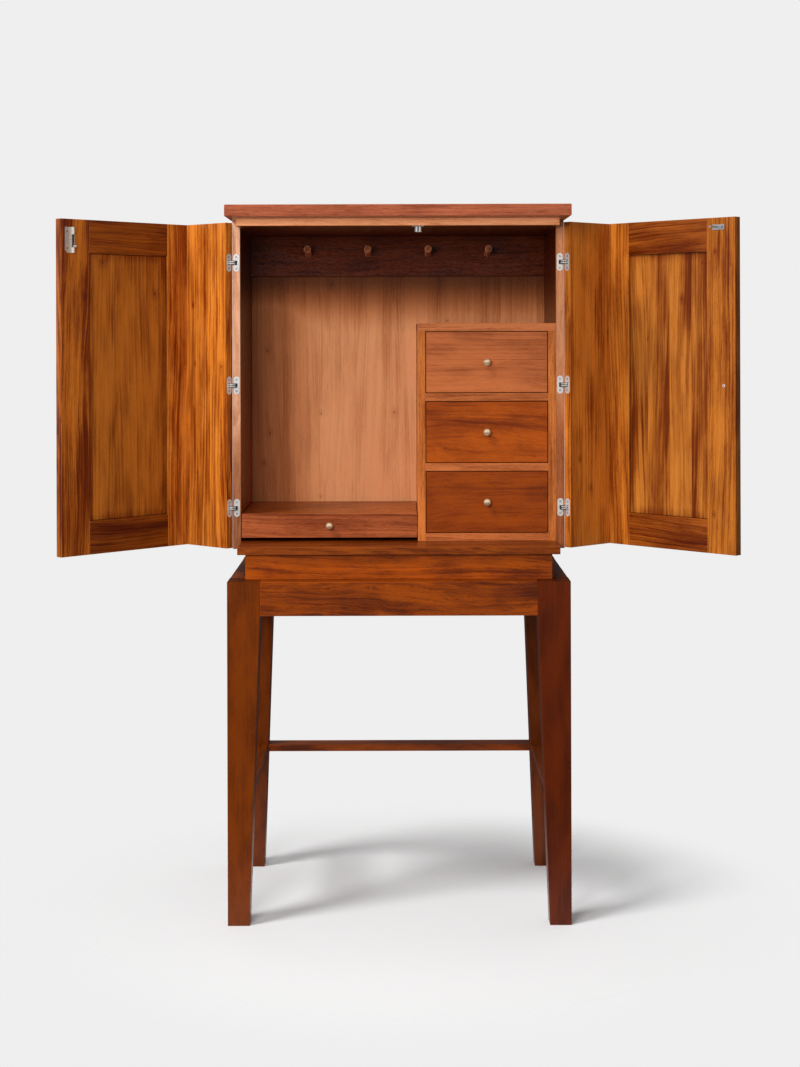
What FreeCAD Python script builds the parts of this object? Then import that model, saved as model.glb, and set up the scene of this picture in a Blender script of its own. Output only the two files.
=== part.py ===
import FreeCAD, Part
import math
import os

# A wooden coffee and bar cabinet on a tall open stand, shown with both L-shaped doors swung open.
# Millimetres, +Z up. The origin is on the floor, in the middle of the whole object's box.

Vector = FreeCAD.Vector

# Overall sizes
cabinet_width = 890.0        # over the two side boards, and over the stand
inside_depth = 398.0         # front edges of the side boards to the back panel
slab_reach = 234.0           # top slab ahead of the side boards' front edges
stand_reach = 181.0          # stand ahead of those edges
side_board = 22.0            # thickness of the side boards and of the doors
edge_ease = 1.2              # small bevel on the edges of large boards
fine_ease = 0.5              # small bevel on the edges of thin pieces
cut_overrun = 1.0            # how far a cutting shape passes the face that it opens

# Stand
stand_height = 889.0
leg_width = 85.0             # square head of a leg
foot_width = 56.0            # square foot of a leg
rail_height = 88.0
rail_thickness = 30.0
tenon_length = 32.0
tenon_thickness = 10.0
tenon_shoulder = 12.0        # rail above and below a tenon
stand_panel = 18.0           # thickness of the panel between the rails
stretcher_top = 353.0
stretcher_width = 60.0
stretcher_thickness = 19.0
stretcher_setback = 1.2      # stretcher's inner edge behind the leg's inner face

# Plinth
plinth_height = 66.0
plinth_width = 803.0
plinth_reach = 130.0         # plinth ahead of the side boards' front edges
plinth_back_inset = 44.0     # plinth ahead of the cabinet's back
plinth_board = 20.0

# Cabinet boards
base_thickness = 20.0
inner_height = 838.0         # base board to inner top board
inner_top_thickness = 20.0
slab_thickness = 30.0
board_front_gap = 16.0       # closed doors to the front edges of the base and inner top board
board_side_gap = 1.5         # those boards to a closed door's side board
back_thickness = 12.0
back_recess = 12.0           # back panel ahead of the side boards' back edges
back_groove = 8.0            # depth of the groove that holds the back panel

# Peg rail and pegs
peg_rail_height = 114.0
peg_rail_thickness = 20.0
peg_count = 4
peg_spacing = 172.0
peg_radius = 10.0
peg_length = 78.0            # out of the rail, along the peg
peg_seat = 14.0              # into the rail, along the peg
peg_drop = 50.0              # peg's axis at the rail's face, below the inner top board
peg_tilt = 8.0               # degrees, end raised
peg_end_ease = 1.5
glue_gap = 0.05              # round pieces glued or pressed into their holes

# Drawer case
case_width = 371.4
case_height = 584.0
case_board = 21.0
drawer_count = 3

# Drawers
drawer_gap = 1.5             # round a drawer front, and beside a drawer box
drawer_run_gap = 0.3         # drawer box above the shelf that carries it
drawer_front_thickness = 20.0
drawer_back_gap = 18.0       # drawer box to the back panel
drawer_wall = 12.0
drawer_box_drop = 12.0       # drawer box below the front's top edge
drawer_bottom_thickness = 6.0
drawer_bottom_rise = 10.0    # underside of the bottom above the box's lower edge
drawer_groove = 5.0

# Pull-out shelf
shelf_side_gap = 2.0
apron_rise = 10.0            # apron above the base board
shelf_thickness = 20.0
apron_height = 64.0
apron_thickness = 20.0
shelf_back_gap = 13.0        # shelf's back edge to the back panel
shelf_rail_thickness = 18.0
slide_end_gap = 21.0         # slide's back end to the shelf's back edge
slide_depth = 9.0            # out from the board that the channel is screwed to
slide_height = 34.0
slide_edge_gap = 1.0         # slide to the shelf board, and to its side rail's lower edge
slide_wall = 1.6
slide_lip = 7.0              # channel's lips over the runner
slide_gap = 0.4
slide_set_in = 24.0          # slide behind the apron's face
slide_reveal = 2.5           # channel's mouth to the shelf's side rail

# Knobs of the drawers and the shelf
knob_radius = 10.0
knob_length = 21.0
knob_neck_radius = 3.6
knob_foot_radius = 5.6
knob_foot_thickness = 1.8
knob_head_thickness = 12.0
knob_crown_radius = 3.0      # flat middle of the head's face
knob_girth_share = 0.45      # widest point of the head, of its thickness
knob_steps = 3               # flat steps along each curve of the head
knob_sides = 22              # flat sides round a knob

# Doors
open_angle = 133.2           # degrees, as the doors stand
door_depth = 182.0           # outer face of the leaf to the door's rear edge
door_top_gap = 3.0           # door below the slab
door_bottom_rise = 3.0       # door above the base board's underside
meeting_gap = 2.0
stile_width = 90.0
door_rail_height = 87.0
panel_thickness = 10.0
panel_setback = 6.0          # panel behind the leaf's inner face
panel_groove = 8.0
door_knob_scale = 1.25       # outside knob against a drawer knob

# Mortised link hinges
hinge_gap = 0.8              # closed door's rear edge to the side board's front edge
hinge_inset = 107.0          # outer hinges from the door's ends
hinge_plate_width = 16.0
hinge_plate_height = 48.0
hinge_plate_thickness = 2.0
hinge_cup_wall = 1.2
link_layers = 5              # links in a stack, inner and outer ones by turns
link_width = 4.4
link_thickness = 2.0
link_layer_gap = 0.2         # between neighbouring links
link_gap = 0.3               # links to the walls of the cups
link_pin_radius = 0.9
link_pin_angle = 50.0        # degrees, pin holes to the middle of a link
inner_link_share = 0.275     # inner links' turn, of the door's turn
link_steps = 4               # straight steps along a link
link_end_steps = 3           # straight steps round a link's end
link_pin_sides = 8
plate_end_steps = 6          # straight steps round a face plate's end
door_turn = 175.0            # degrees, closed to fully open

# Bolt on the left door
bolt_plate_width = 31.0
bolt_plate_height = 67.0
bolt_plate_thickness = 1.6
bolt_plate_corner = 7.0      # cut corners at the plate's lower end
bolt_edge_inset = 12.0       # plate from the meeting edge
bolt_top_inset = 21.0        # plate below the door's top
bolt_axis_inset = 34.0       # rod's axis from the meeting edge
bolt_rod_radius = 3.0
bolt_rod_gap = 0.3
bolt_barrel_wall = 1.8
bolt_lower_guide = 14.0
bolt_rod_proud = 2.0         # rod above the plate at rest
bolt_throw = 28.0            # the rod's way up into the slab
bolt_handle_radius = 2.6
bolt_handle_length = 8.0
bolt_socket_depth = 9.0      # blind hole in the slab

# Roller catch under the inner top board, and its strike on the right door
catch_inset = 52.0           # catch and strike from the meeting edge
catch_set_back = 31.0        # rollers behind the closed leaf's inner face
catch_plate_width = 30.0
catch_plate_depth = 22.0
catch_plate_thickness = 1.6
catch_drop = 16.0            # lower plate's underside below the inner top board
roller_radius = 2.6
roller_spacing = 8.6
roller_end_gap = 0.3
strike_width = 38.0
strike_height = 14.0
strike_thickness = 1.6
spear_neck = 2.2
spear_height = 5.0
spear_length = 40.0
spear_head_width = 6.0
spear_head_length = 7.0

# Planes that the pieces share
body_depth = inside_depth + back_thickness + back_recess
overall_depth = slab_reach + body_depth
half_width = cabinet_width / 2
y_front = -overall_depth / 2
y_hinge = y_front + slab_reach
y_back = y_hinge + body_depth
y_stand = y_hinge - stand_reach
x_inner = half_width - side_board
z_base = stand_height + plinth_height
z_floor = z_base + base_thickness
z_ceiling = z_floor + inner_height
z_slab = z_ceiling + inner_top_thickness
z_top = z_slab + slab_thickness
y_panel = y_hinge + inside_depth
pivot = Vector(-half_width, y_hinge - hinge_gap / 2, 0)
z_door_low = z_base + door_bottom_rise
z_door_high = z_slab - door_top_gap
z_door_middle = (z_door_low + z_door_high) / 2
hinge_heights = (z_door_high - hinge_inset, z_door_middle, z_door_low + hinge_inset)
y_door_rear = y_hinge - hinge_gap
y_leaf_outer = y_door_rear - door_depth
y_leaf_inner = y_leaf_outer + side_board
y_board_front = y_leaf_inner + board_front_gap
x_meet = -meeting_gap / 2
outer_link_share = 1 - inner_link_share

x_axis = Vector(1, 0, 0)
y_axis = Vector(0, 1, 0)
z_axis = Vector(0, 0, 1)
origin = Vector(0, 0, 0)
full_circle = 360.0
half_circle = full_circle / 2
right_angle = full_circle / 4


def board(x, y, z, ease=0.0):
    # a flat board between two places on each axis, its edges bevelled by ease
    corner = Vector(x[0], y[0], z[0])
    box = Part.makeBox(x[1] - x[0], y[1] - y[0], z[1] - z[0], corner)
    if ease > 0:
        box = box.makeChamfer(ease, box.Edges)
    return box


def carve(body, *tools):
    # body with every tool cut away
    for tool in tools:
        body = body.cut(tool)
    return body.removeSplitter()


def joined(first, *others):
    # pieces of one solid
    return first.multiFuse(list(others)).removeSplitter()


def outline(points):
    # flat face inside a closed run of points
    return Part.Face(Part.makePolygon(list(points) + [points[0]]))


def arc(centre, radius, start, turn, steps, up=y_axis):
    # points round a circle, from the start angle on through a turn; angle 0 points along X
    angles = [math.radians(start + turn * step / steps) for step in range(steps + 1)]
    return [centre + (x_axis * math.cos(angle) + up * math.sin(angle)) * radius for angle in angles]


def to_right(shape):
    # the same piece on the other side of the cabinet
    return shape.mirror(origin, x_axis)


def save(node, *pieces):
    # one file for each node, with the separate solids that it holds
    solids = [solid for piece in pieces for solid in piece.Solids]
    shape = solids[0] if len(solids) == 1 else Part.makeCompound(solids)
    shape.exportStep(os.path.join("parts", node + ".step"))


def swing(shape, side, share=1.0):
    # turn a piece made in its closed place to where it stands with the door open
    turned = shape.copy()
    centre = Vector(side * abs(pivot.x), pivot.y, 0)
    turned.rotate(centre, z_axis, side * share * open_angle)
    return turned


def skinned(rings):
    # solid between rings of equally many points, with flat sides and flat ends
    faces = [outline(rings[0]), outline(rings[-1])]
    for lower, upper in zip(rings, rings[1:]):
        for index in range(len(lower)):
            before = index - 1
            faces.append(outline([lower[before], lower[index], upper[index], upper[before]]))
    return Part.Solid(Part.Shell(faces)).removeSplitter()


def stand_leg():
    # front left leg: square head, then both inner faces taper to the foot; the four corners are bevelled
    rings = []
    for width, z in ((foot_width, 0), (leg_width, stand_height - rail_height), (leg_width, stand_height)):
        near = edge_ease
        far = width - edge_ease
        near_side = ((near, 0), (far, 0), (width, near), (width, far))
        far_side = ((far, width), (near, width), (0, far), (0, near))
        rings.append([Vector(-half_width + u, y_stand + v, z) for u, v in near_side + far_side])
    return skinned(rings)


def make_stand():
    y_middle = (y_stand + y_back) / 2
    rail_z = (stand_height - rail_height, stand_height)
    tenon_z = (rail_z[0] + tenon_shoulder, rail_z[1] - tenon_shoulder)
    tenon_in = (rail_thickness - tenon_thickness) / 2
    x_clear = half_width - leg_width

    def to_back(shape):
        return shape.mirror(Vector(0, y_middle, 0), y_axis)

    front_rail = joined(
        board((-x_clear, x_clear), (y_stand, y_stand + rail_thickness), rail_z, edge_ease),
        board((-x_clear - tenon_length, x_clear + tenon_length),
              (y_stand + tenon_in, y_stand + tenon_in + tenon_thickness), tenon_z))
    side_rail = joined(
        board((-half_width, -half_width + rail_thickness), (y_stand + leg_width, y_back - leg_width), rail_z,
              edge_ease),
        board((-half_width + tenon_in, -half_width + tenon_in + tenon_thickness),
              (y_stand + leg_width - tenon_length, y_back - leg_width + tenon_length), tenon_z))
    plain_leg = stand_leg()
    leg = carve(plain_leg, front_rail, side_rail)
    z_panel = stand_height - stand_panel
    panel = board((-half_width + rail_thickness, half_width - rail_thickness),
                  (y_stand + rail_thickness, y_back - rail_thickness), (z_panel, stand_height))
    corner_z = (z_panel - cut_overrun, stand_height + cut_overrun)
    corner = board((-half_width, -x_clear), (y_stand, y_stand + leg_width), corner_z)
    corners = [corner, to_right(corner), to_back(corner), to_right(to_back(corner))]
    save("stand_front_left_leg", leg)
    save("stand_front_right_leg", to_right(leg))
    save("stand_back_left_leg", to_back(leg))
    save("stand_back_right_leg", to_right(to_back(leg)))
    save("stand_front_rail", front_rail)
    save("stand_back_rail", to_back(front_rail))
    save("stand_side_rails", side_rail, to_right(side_rail))
    save("stand_top_panel", carve(panel, *corners))

    # flat stretchers, their inner edges just behind the legs' tapered faces, their ends fitted to the legs
    stretcher_low = stretcher_top - stretcher_thickness
    reach = foot_width + (leg_width - foot_width) * stretcher_low / (stand_height - rail_height)
    inner = reach - stretcher_setback
    stretcher_z = (stretcher_low, stretcher_top)
    half_foot = foot_width / 2
    side = board((-half_width + inner - stretcher_width, -half_width + inner),
                 (y_stand + half_foot, y_back - half_foot), stretcher_z, fine_ease)
    side = carve(side, plain_leg, to_back(plain_leg))
    back = board((-half_width + half_foot, half_width - half_foot),
                 (y_back - inner, y_back - inner + stretcher_width), stretcher_z, fine_ease)
    back = carve(back, to_back(plain_leg), to_right(to_back(plain_leg)))
    save("stand_side_stretchers", side, to_right(side))
    save("stand_back_stretcher", back)


def make_plinth():
    half = plinth_width / 2
    y_low = y_hinge - plinth_reach
    y_high = y_back - plinth_back_inset
    z = (stand_height, z_base)
    front = board((-half, half), (y_low, y_low + plinth_board), z, edge_ease)
    back = board((-half, half), (y_high - plinth_board, y_high), z, edge_ease)
    side = board((-half, -half + plinth_board), (y_low + plinth_board, y_high - plinth_board), z, edge_ease)
    save("plinth_boards", front, back, side, to_right(side))


def fixed_board(z):
    # a board between the side boards whose narrower front part stands out between the closed doors
    back_part = board((-x_inner, x_inner), (y_hinge, y_back), z)
    x_front = x_inner - board_side_gap
    front_part = board((-x_front, x_front), (y_board_front, y_hinge), z)
    whole = joined(back_part, front_part)
    front_edges = [edge for edge in whole.Edges if edge.BoundBox.YMax < y_board_front + cut_overrun]
    return whole.makeChamfer(edge_ease, front_edges)


def back_panel():
    x = (-x_inner - back_groove, x_inner + back_groove)
    return board(x, (y_panel, y_panel + back_thickness), (z_floor - back_groove, z_ceiling + back_groove))


def ring_point(radius, angle):
    # place at a radius and angle round the hinge's pivot line, angle 0 pointing into the cabinet
    turn = math.radians(angle)
    return pivot + Vector(math.cos(turn), math.sin(turn), 0) * radius


def curved_bar(radius, width, low_angle, high_angle, low_z, high_z):
    # flat bar bent round the pivot line, with round ends, all in a few straight steps
    half = width / 2
    turn = high_angle - low_angle
    points = arc(pivot, radius + half, low_angle, turn, link_steps)
    points += arc(ring_point(radius, high_angle), half, high_angle, half_circle, link_end_steps)[1:-1]
    points += arc(pivot, radius - half, high_angle, -turn, link_steps)
    low_end = low_angle + half_circle
    points += arc(ring_point(radius, low_angle), half, low_end, half_circle, link_end_steps)[1:-1]
    bar = outline(points).extrude(z_axis * (high_z - low_z))
    bar.translate(z_axis * low_z)
    return bar


link_radius = side_board / 2
link_pitch = link_thickness + link_layer_gap
link_stack = link_layers * link_pitch - link_layer_gap


def layer(index):
    # lower and upper face of one link of the stack, counted from the lowest
    low = -link_stack / 2 + index * link_pitch
    return low, low + link_thickness


pocket_width = link_width + 2 * link_gap
pocket_half = link_stack / 2 + link_gap


def hinge_plate(height):
    # plate with round ends, let into the left side board's front edge
    centre = Vector(-half_width + side_board / 2, y_hinge, height)
    half = hinge_plate_width / 2
    rise = z_axis * (hinge_plate_height / 2 - half)
    points = arc(centre + rise, half, 0, half_circle, plate_end_steps, z_axis)
    points += arc(centre - rise, half, half_circle, half_circle, plate_end_steps, z_axis)
    return outline(points).extrude(y_axis * hinge_plate_thickness)


def hinge_block(height):
    # face plate with the cup behind it, still solid
    tip = ring_point(link_radius, link_pin_angle)
    round_cup = pocket_width / 2 + hinge_cup_wall
    cup_half = pocket_half + hinge_cup_wall
    cup = board((tip.x - round_cup, pivot.x + link_radius + round_cup), (y_hinge, tip.y + round_cup),
                (height - cup_half, height + cup_half))
    return joined(hinge_plate(height), cup)


def hinge_pocket(height):
    # curved hollow that the links slide into
    low = height - pocket_half
    high = height + pocket_half
    return curved_bar(link_radius, pocket_width, 0, link_pin_angle, low, high)


def link_pin(angle, first, last, height):
    low = height + layer(first)[0]
    high = height + layer(last)[1]
    centre = ring_point(link_radius, angle) + z_axis * low
    section = arc(centre, link_pin_radius, 0, full_circle, link_pin_sides)[1:]
    return outline(section).extrude(z_axis * (high - low))


def link_set(height, indexes, pin_angle):
    # links on one pin; all but the outermost are slotted for the other set's pin, which runs along them
    travel = (outer_link_share - inner_link_share) * door_turn
    slot_end = -pin_angle
    slot_start = slot_end + math.copysign(travel, pin_angle)
    slot_range = sorted((slot_end, slot_start))
    links = []
    slot_width = 2 * (link_pin_radius + link_gap)
    for index in indexes:
        low, high = [height + face for face in layer(index)]
        link = curved_bar(link_radius, link_width, -link_pin_angle, link_pin_angle, low, high)
        if index not in (0, link_layers - 1):
            slot = curved_bar(link_radius, slot_width, *slot_range, low - cut_overrun, high + cut_overrun)
            link = carve(link, slot)
        links.append(link)
    return joined(link_pin(pin_angle, indexes[0], indexes[-1], height), *links)


def make_hinges():
    blocks = [hinge_block(height) for height in hinge_heights]
    door_blocks = [block.mirror(pivot, y_axis) for block in blocks]
    cups = [carve(hinge_block(height), hinge_pocket(height)) for height in hinge_heights]
    door_cups = [cup.mirror(pivot, y_axis) for cup in cups]
    inner = [link_set(height, range(0, link_layers, 2), -link_pin_angle) for height in hinge_heights]
    outer = [link_set(height, range(1, link_layers, 2), link_pin_angle) for height in hinge_heights]
    save("side_hinge_cups", *cups, *[to_right(cup) for cup in cups])
    save("left_door_hinge_cups", *[swing(cup, -1) for cup in door_cups])
    save("right_door_hinge_cups", *[swing(to_right(cup), 1) for cup in door_cups])
    save("left_hinge_inner_links", *[swing(link, -1, inner_link_share) for link in inner])
    save("left_hinge_outer_links", *[swing(link, -1, outer_link_share) for link in outer])
    save("right_hinge_inner_links", *[swing(to_right(link), 1, inner_link_share) for link in inner])
    save("right_hinge_outer_links", *[swing(to_right(link), 1, outer_link_share) for link in outer])
    return blocks, door_blocks


def bolt_axis():
    # middle of the bolt's rod with the left door closed, at the plate's lower end
    x = x_meet - bolt_axis_inset
    y = y_leaf_inner + bolt_plate_thickness + bolt_rod_gap + bolt_rod_radius + bolt_barrel_wall / 2
    return Vector(x, y, z_door_high - bolt_top_inset - bolt_plate_height)


def make_cabinet(hinge_blocks):
    panel = back_panel()
    side = board((-half_width, -x_inner), (y_hinge, y_back), (z_base, z_slab), edge_ease)
    side = carve(side, panel, *hinge_blocks)
    axis = bolt_axis()
    mouth = Vector(axis.x, axis.y, z_slab)
    socket = Part.makeCylinder(bolt_rod_radius + bolt_rod_gap, bolt_socket_depth, mouth)
    slab = board((-half_width, half_width), (y_front, y_back), (z_slab, z_top), edge_ease)
    save("base_board", carve(fixed_board((z_base, z_floor)), panel))
    save("left_side_board", side)
    save("right_side_board", to_right(side))
    save("inner_top_board", carve(fixed_board((z_ceiling, z_slab)), panel))
    save("top_slab", carve(slab, socket))
    save("back_panel", panel)


def make_pegs():
    y_rail = y_panel - peg_rail_thickness
    rail = board((-x_inner, x_inner), (y_rail, y_panel), (z_ceiling - peg_rail_height, z_ceiling), fine_ease)
    turn = math.radians(peg_tilt)
    way = Vector(0, -math.cos(turn), math.sin(turn))
    pegs = []
    for index in range(peg_count):
        x = (index - (peg_count - 1) / 2) * peg_spacing
        seat = Vector(x, y_rail, z_ceiling - peg_drop) - way * peg_seat
        length = peg_seat + peg_length
        peg = Part.makeCylinder(peg_radius, length, seat, way)
        tip = seat + way * length
        tip_edges = [edge for edge in peg.Edges if edge.BoundBox.Center.sub(tip).Length < peg_radius / 2]
        pegs.append(peg.makeChamfer(peg_end_ease, tip_edges))
        rail = carve(rail, Part.makeCylinder(peg_radius + glue_gap, length, seat, way))
    save("peg_rail", rail)
    save("mug_pegs", *pegs)


def knob(base, way, scale=1.0):
    # turned knob: foot, slim neck and a rounded head of two quarter ovals, on the axis through base
    head_start = knob_length - knob_head_thickness
    girth = head_start + knob_head_thickness * knob_girth_share
    turns = [math.radians(right_angle * step / knob_steps) for step in range(knob_steps + 1)]

    def head_curve(radius, end):
        # radius and place along the axis, from the girth to one end of the head
        swell = knob_radius - radius
        return [(radius + swell * math.cos(turn), girth + (end - girth) * math.sin(turn)) for turn in turns]

    profile = [(knob_foot_radius, 0), (knob_foot_radius, knob_foot_thickness),
               (knob_neck_radius, knob_foot_thickness)]
    profile += head_curve(knob_neck_radius, head_start)[::-1]
    profile += head_curve(knob_crown_radius, knob_length)[1:]
    turned = skinned([arc(z_axis * (out * scale), radius * scale, 0, full_circle, knob_sides)[1:]
                      for radius, out in profile])
    turned.Placement = FreeCAD.Placement(base, FreeCAD.Rotation(z_axis, way))
    return turned


case_left = x_inner - case_width
case_bore = (case_left + case_board, x_inner - case_board)
z_case_top = z_floor + case_height
drawer_bay = (case_height - case_board) / drawer_count - case_board


def make_drawer_case():
    y = (y_hinge, y_panel)
    side_z = (z_floor, z_case_top - case_board)
    left = board((case_left, case_bore[0]), y, side_z, fine_ease)
    right = board((case_bore[1], x_inner), y, side_z, fine_ease)
    shelves = []
    for index in range(drawer_count):
        low = z_floor + index * (drawer_bay + case_board)
        shelves.append(board(case_bore, y, (low, low + case_board), fine_ease))
    save("drawer_case_sides", left, right)
    save("drawer_case_top", board((case_left, x_inner), y, (z_case_top - case_board, z_case_top), fine_ease))
    save("drawer_case_shelves", *shelves)


def make_drawer(number, bay_low):
    # drawer with its bay's floor at bay_low: front, then sides, back and a bottom held in grooves
    x = (case_bore[0] + drawer_gap, case_bore[1] - drawer_gap)
    front_z = (bay_low + drawer_gap, bay_low + drawer_bay - drawer_gap)
    y_box = y_hinge + drawer_front_thickness
    y_end = y_panel - drawer_back_gap
    box_z = (bay_low + drawer_run_gap, front_z[1] - drawer_box_drop)
    bottom_z = box_z[0] + drawer_bottom_rise
    inside = (x[0] + drawer_wall, x[1] - drawer_wall)
    bottom = board((inside[0] - drawer_groove, inside[1] + drawer_groove), (y_box - drawer_groove, y_end),
                   (bottom_z, bottom_z + drawer_bottom_thickness))
    front = carve(board(x, (y_hinge, y_box), front_z, edge_ease), bottom)
    left = carve(board((x[0], inside[0]), (y_box, y_end), box_z, fine_ease), bottom)
    right = carve(board((inside[1], x[1]), (y_box, y_end), box_z, fine_ease), bottom)
    back_z = (bottom_z + drawer_bottom_thickness, box_z[1])
    back = board(inside, (y_end - drawer_wall, y_end), back_z, fine_ease)
    middle = Vector((x[0] + x[1]) / 2, y_hinge, (front_z[0] + front_z[1]) / 2)
    save(f"drawer_{number}_front", front)
    save(f"drawer_{number}_box", left, right, back, bottom)
    save(f"drawer_{number}_knob", knob(middle, -y_axis))


def make_drawers():
    for number in range(1, drawer_count + 1):
        step = drawer_count - number
        make_drawer(number, z_floor + case_board + step * (drawer_bay + case_board))


def make_pull_shelf():
    x_left = -x_inner
    x = (x_left + shelf_side_gap, case_left - shelf_side_gap)
    x_middle = (x_left + case_left) / 2
    z_shelf = z_floor + apron_rise + apron_height
    z_under = z_shelf - shelf_thickness
    y_board = y_hinge + apron_thickness
    y_end = y_panel - shelf_back_gap
    shelf_rail_height = slide_height + 2 * slide_edge_gap
    apron = board(x, (y_hinge, y_board), (z_shelf - apron_height, z_shelf), fine_ease)
    shelf = board(x, (y_board, y_end), (z_under, z_shelf), fine_ease)
    rail_x = x_left + slide_depth + slide_reveal
    rail_z = (z_under - shelf_rail_height, z_under)
    rail = board((rail_x, rail_x + shelf_rail_thickness), (y_board, y_end), rail_z, fine_ease)

    # channel with two lips, and a runner of T section whose web passes between the lips
    z_slide = z_under - shelf_rail_height / 2
    y_slide = y_hinge + slide_set_in
    half = slide_height / 2
    mouth = half - slide_wall - slide_lip
    inside = half - slide_wall
    deep = slide_depth - slide_wall
    channel_shape = ((0, -half), (slide_depth, -half), (slide_depth, -mouth), (deep, -mouth), (deep, -inside),
                     (slide_wall, -inside), (slide_wall, inside), (deep, inside), (deep, mouth),
                     (slide_depth, mouth), (slide_depth, half), (0, half))
    flange = (slide_wall + slide_gap, deep - slide_gap)
    tall = inside - slide_gap
    web = mouth - slide_gap
    web_end = slide_depth + slide_reveal
    runner_shape = ((flange[0], -tall), (flange[1], -tall), (flange[1], -web), (web_end, -web),
                    (web_end, web), (flange[1], web), (flange[1], tall), (flange[0], tall))

    def drawn(shape):
        face = outline([Vector(x_left + u, y_slide, z_slide + w) for u, w in shape])
        return face.extrude(y_axis * (y_end - slide_end_gap - y_slide))

    def other_side(piece):
        return piece.mirror(Vector(x_middle, 0, 0), x_axis)

    channel = drawn(channel_shape)
    runner = drawn(runner_shape)
    place = Vector(x_middle, y_hinge, z_shelf - apron_height / 2)
    save("pull_shelf_board", shelf)
    save("pull_shelf_apron", apron)
    save("pull_shelf_side_rails", rail, other_side(rail))
    save("pull_shelf_knob", knob(place, -y_axis))
    save("pull_shelf_slide_channels", channel, other_side(channel))
    save("pull_shelf_slide_runners", runner, other_side(runner))


def make_doors(hinge_blocks):
    z = (z_door_low, z_door_high)
    leaf_y = (y_leaf_outer, y_leaf_inner)
    x_corner = -half_width + stile_width
    x_stile = x_meet - stile_width
    panel_y = y_leaf_inner - panel_setback
    rail_low = z_door_low + door_rail_height
    rail_high = z_door_high - door_rail_height
    panel = board((x_corner - panel_groove, x_stile + panel_groove), (panel_y - panel_thickness, panel_y),
                  (rail_low - panel_groove, rail_high + panel_groove))
    side = board((-half_width, -x_inner), (y_leaf_inner, y_door_rear), z)
    at_pivot = Vector(-half_width, y_door_rear, z_door_middle)
    eased = [edge for edge in side.Edges if edge.BoundBox.Center.sub(at_pivot).Length > cut_overrun]
    side = carve(side.makeChamfer(fine_ease, eased), *hinge_blocks)
    corner_stile = carve(board((-half_width, x_corner), leaf_y, z, fine_ease), panel)
    meeting_stile = carve(board((x_stile, x_meet), leaf_y, z, fine_ease), panel)
    low_rail = carve(board((x_corner, x_stile), leaf_y, (z_door_low, rail_low), fine_ease), panel)
    high_rail = carve(board((x_corner, x_stile), leaf_y, (rail_high, z_door_high), fine_ease), panel)
    pieces = {"side_board": [side], "corner_stile": [corner_stile], "meeting_stile": [meeting_stile],
              "rails": [low_rail, high_rail], "panel": [panel]}
    for name, solids in pieces.items():
        save("left_door_" + name, *[swing(solid, -1) for solid in solids])
        save("right_door_" + name, *[swing(to_right(solid), 1) for solid in solids])
    handle = knob(Vector(-x_meet + stile_width / 2, y_leaf_outer, z_door_middle), -y_axis, door_knob_scale)
    save("right_door_knob", swing(handle, 1))


def make_bolt():
    # surface bolt near the top of the left door's meeting edge; the rod slides up into the slab
    axis = bolt_axis()
    z_low = axis.z
    z_high = z_low + bolt_plate_height
    x_edge = x_meet - bolt_edge_inset
    x_far = x_edge - bolt_plate_width
    z_corner = z_low + bolt_plate_corner
    plate_shape = ((x_edge - bolt_plate_corner, z_low), (x_edge, z_corner), (x_edge, z_high), (x_far, z_high),
                   (x_far, z_corner), (x_far + bolt_plate_corner, z_low))
    plate_face = outline([Vector(x, y_leaf_inner, z) for x, z in plate_shape])
    plate = plate_face.extrude(y_axis * bolt_plate_thickness)
    bore = bolt_rod_radius + bolt_rod_gap
    barrel_radius = bore + bolt_barrel_wall
    y_plate = y_leaf_inner + bolt_plate_thickness
    x_barrel = (axis.x - barrel_radius, axis.x + barrel_radius)
    barrel = joined(Part.makeCylinder(barrel_radius, bolt_plate_height, axis),
                    board(x_barrel, (y_plate, axis.y), (z_low, z_high)))
    barrel = barrel.common(board(x_barrel, (y_leaf_inner, axis.y + barrel_radius), (z_low, z_high)))
    window_height = bolt_throw + 2 * (bolt_handle_radius + bolt_rod_gap)
    z_window = (z_low + bolt_lower_guide, z_low + bolt_lower_guide + window_height)
    window = board(x_barrel, (axis.y, axis.y + barrel_radius), z_window)
    case = carve(joined(plate, barrel), Part.makeCylinder(bore, bolt_plate_height, axis), window)
    rod_low = z_low + bolt_lower_guide / 2
    rod_length = z_high + bolt_rod_proud - rod_low
    rod = Part.makeCylinder(bolt_rod_radius, rod_length, Vector(axis.x, axis.y, rod_low))
    z_handle = z_window[0] + bolt_handle_radius + bolt_rod_gap
    handle_length = bolt_rod_radius + bolt_barrel_wall + bolt_handle_length
    handle = Part.makeCylinder(bolt_handle_radius, handle_length, Vector(axis.x, axis.y, z_handle), y_axis)
    save("left_door_bolt_case", swing(case, -1))
    save("left_door_bolt_rod", swing(joined(rod, handle), -1))


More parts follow.
